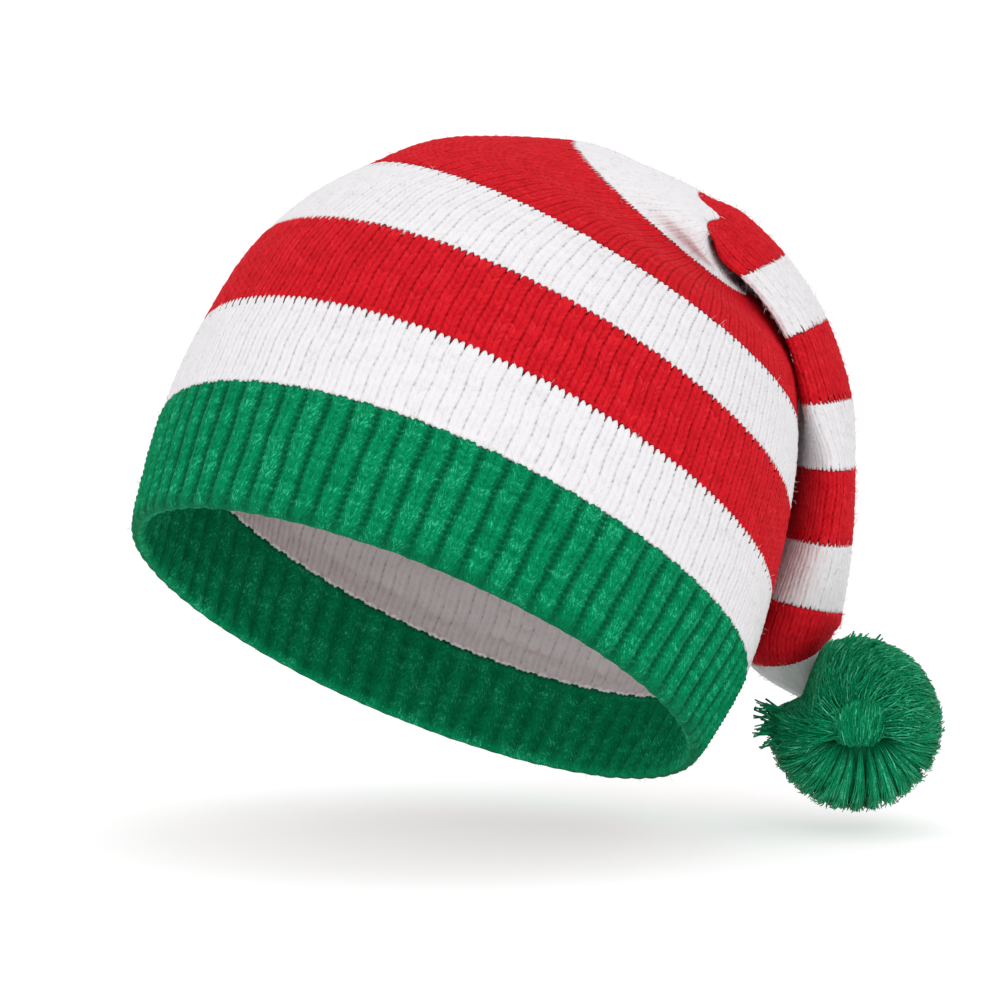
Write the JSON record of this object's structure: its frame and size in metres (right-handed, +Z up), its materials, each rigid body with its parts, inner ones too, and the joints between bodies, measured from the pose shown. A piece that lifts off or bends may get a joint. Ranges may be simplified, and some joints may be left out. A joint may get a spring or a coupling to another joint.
{
  "type": "striped knitted stocking hat",
  "caption": "Knitted stocking hat for winter: ribbed green cuff, red and white striped crown, folded tail hanging at the side and a green yarn pompom.",
  "frame": {"origin": "middle of the head opening, in the plane of the cuff's lower edge", "axes": "+Z up as the hat is worn in the view, +X to the side where the tail hangs, +Y to the back; the hat is tipped back and towards +X"},
  "size_m": [0.2424, 0.197, 0.2024],
  "materials": {
    "green_knit": "matt acrylic yarn in one by one rib",
    "white_knit": "matt acrylic yarn in plain knit",
    "red_knit": "matt acrylic yarn in plain knit",
    "green_cut_yarn": "cut acrylic yarn, slightly shiny strands"
  },
  "bodies": {
    "root": {"cuff": "green_knit", "crown_white_1": "white_knit", "crown_red_1": "red_knit", "crown_white_2": "white_knit", "crown_red_2": "red_knit", "crown_white_3": "white_knit", "tail_red_1": "red_knit", "tail_white_1": "white_knit", "tail_red_2": "red_knit", "tail_white_2": "white_knit", "tail_red_3": "red_knit", "tail_white_3": "white_knit", "tail_red_4": "red_knit", "tail_white_tip": "white_knit", "pompom": "green_cut_yarn"}
  },
  "joints": []
}
